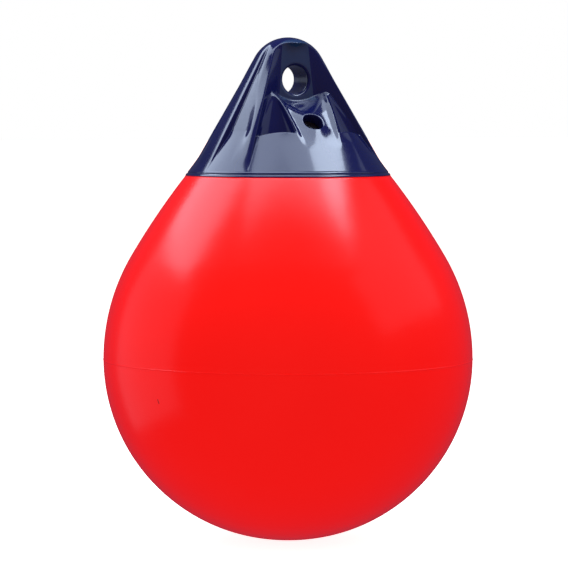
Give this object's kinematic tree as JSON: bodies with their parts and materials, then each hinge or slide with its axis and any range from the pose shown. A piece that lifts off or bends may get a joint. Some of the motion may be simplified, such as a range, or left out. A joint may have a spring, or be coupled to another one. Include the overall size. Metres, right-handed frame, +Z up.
{
  "type": "inflatable mooring buoy",
  "caption": "Round inflatable teardrop buoy with a ribbed dark cone on top, a rope eye through the cone, and a screwed air valve under the eye.",
  "frame": {"origin": "the middle of the rope eye, on the buoy's axis", "axes": "+Z up along the buoy's axis from the round body to the crown, Y along the rope eye with the valve on the -Y side"},
  "size_m": [0.3684, 0.3684, 0.5],
  "materials": {
    "body_red": "gloss",
    "hold_navy": "gloss",
    "valve_black": "satin",
    "screw_grey": "satin"
  },
  "bodies": {
    "root": {"body_shell": "body_red", "rope_hold": "hold_navy", "valve_seat": "valve_black", "valve_screw": "screw_grey"}
  },
  "joints": []
}
